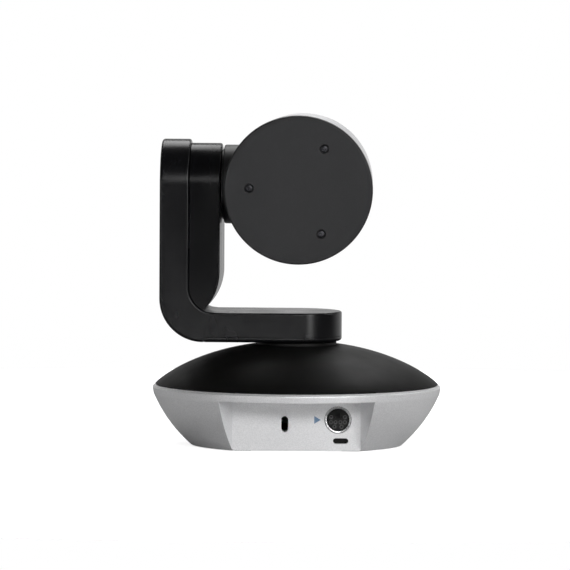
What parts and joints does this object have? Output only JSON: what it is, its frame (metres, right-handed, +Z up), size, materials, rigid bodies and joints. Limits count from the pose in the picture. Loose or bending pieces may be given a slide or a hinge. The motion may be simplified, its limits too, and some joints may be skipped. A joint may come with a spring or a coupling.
{
  "type": "ptz camera",
  "caption": "Desk-top pan-tilt-zoom conference camera: drum-shaped head on an L-shaped panning arm over a round domed base with a rear port recess.",
  "frame": {"origin": "on the supporting surface under the pan axis, at the bottom centre of the foot ring", "axes": "+Z up along the pan axis, +Y ahead (the lens looks roughly along +Y at rest), -Y the side with the ports, the arm stands at -X"},
  "size_m": [0.131, 0.131, 0.1513],
  "materials": {
    "silver_paint": "metallic silver paint on plastic, fine flake, satin",
    "soft_black": "fine-grained black plastic, satin",
    "black_plastic": "smooth black plastic, semi-gloss",
    "disc_black": "charcoal plastic, fine texture",
    "rubber": "matt rubber",
    "steel": "plated steel",
    "dark_steel": "blackened steel",
    "brass": "turned brass",
    "grey_plastic": "glass-filled grey plastic",
    "white_acetal": "natural acetal",
    "circuit_board": "green solder mask",
    "dark_window": "smoked gloss window",
    "lens_glass": "coated optical glass"
  },
  "bodies": {
    "base": {"base_lower_shell": "silver_paint", "remote_window": "dark_window", "base_dome_cover": "soft_black", "base_bottom_plate": "black_plastic", "rubber_foot_ring": "rubber", "tripod_insert": "brass", "ballast_weight": "dark_steel", "base_screw_1": "steel", "base_screw_2": "steel", "base_screw_3": "steel", "base_screw_4": "steel", "base_frame": "grey_plastic", "pan_bush": "white_acetal", "pan_motor": "steel", "interface_board": "circuit_board", "main_board": "circuit_board", "power_socket_body": "black_plastic", "power_socket_shield": "steel", "lock_slot_plate": "steel", "cable_clip": "soft_black"},
    "pan_pinion_shaft": {"pan_pinion": "brass"},
    "arm": {"arm_outer_band": "black_plastic", "arm_bottom_cover": "black_plastic", "arm_cover_screw_1": "dark_steel", "arm_cover_screw_2": "dark_steel", "tilt_housing_cover": "black_plastic", "pan_hub": "grey_plastic", "pan_collar": "soft_black", "pan_gear": "white_acetal", "pan_clip": "steel", "tilt_bracket": "steel", "tilt_bush": "white_acetal", "tilt_motor": "steel", "arm_cable": "rubber"},
    "tilt_pinion_shaft": {"tilt_pinion": "brass"},
    "head": {"pivot_boss": "soft_black", "tilt_shaft": "steel", "tilt_gear": "white_acetal", "tilt_clip": "steel", "head_barrel": "silver_paint", "head_rear_cover": "disc_black", "rear_cover_screw_1": "dark_steel", "rear_cover_screw_2": "dark_steel", "rear_cover_screw_3": "dark_steel", "front_bezel": "black_plastic", "front_glass": "dark_window", "lens_frame": "dark_steel", "front_lens_cell": "black_plastic", "front_lens": "lens_glass", "guide_rail_1": "steel", "guide_rail_2": "steel", "sensor_board": "circuit_board", "zoom_motor": "steel", "focus_motor": "steel"},
    "zoom_group": {"zoom_carriage": "soft_black", "zoom_lens": "lens_glass"},
    "zoom_lead_screw": {"zoom_screw": "steel"},
    "focus_group": {"focus_carriage": "soft_black", "focus_lens": "lens_glass"},
    "focus_lead_screw": {"focus_screw": "steel"}
  },
  "joints": [
    {"name": "pan", "type": "hinge", "parent": "base", "child": "arm", "pos_m": [0, 0, 0.0477], "axis": [0, 0, 1], "range_deg": [-127, 133]},
    {"name": "pan_pinion_spin", "type": "hinge", "parent": "base", "child": "pan_pinion_shaft", "pos_m": [0, 0.03, 0.0356], "axis": [0, 0, 1], "range_deg": [-540, 516]},
    {"name": "tilt", "type": "hinge", "parent": "arm", "child": "head", "pos_m": [0, 0, 0.1185], "axis": [0.9986, -0.0523, 0], "range_deg": [-41.5, 88.5]},
    {"name": "tilt_pinion_spin", "type": "hinge", "parent": "arm", "child": "tilt_pinion_shaft", "pos_m": [-0.04194, 0.0022, 0.0993], "axis": [0.9986, -0.0523, 0], "range_deg": [-268, 128]},
    {"name": "zoom_slide", "type": "slide", "parent": "head", "child": "zoom_group", "axis": [0.0523, 0.9983, 0.0262], "range_m": [-0.0095, 0]},
    {"name": "zoom_screw_spin", "type": "hinge", "parent": "head", "child": "zoom_lead_screw", "pos_m": [-0.0125, 0.00037, 0.1295], "axis": [0.0523, 0.9983, 0.0262], "range_deg": [-10, 1720]},
    {"name": "focus_slide", "type": "slide", "parent": "head", "child": "focus_group", "axis": [0.0523, 0.9983, 0.0262], "range_m": [-0.0025, 0.002]},
    {"name": "focus_screw_spin", "type": "hinge", "parent": "head", "child": "focus_lead_screw", "pos_m": [0.01646, -0.00115, 0.1295], "axis": [0.0523, 0.9983, 0.0262], "range_deg": [-370, 460]}
  ],
  "couplings": [
    {"joint": "pan_pinion_spin", "follows": "pan", "ratio": -4},
    {"joint": "tilt_pinion_spin", "follows": "tilt", "ratio": -3},
    {"joint": "zoom_screw_spin", "follows": "zoom_slide", "rad_per_m": -3141.6},
    {"joint": "focus_screw_spin", "follows": "focus_slide", "rad_per_m": -3141.6}
  ]
}
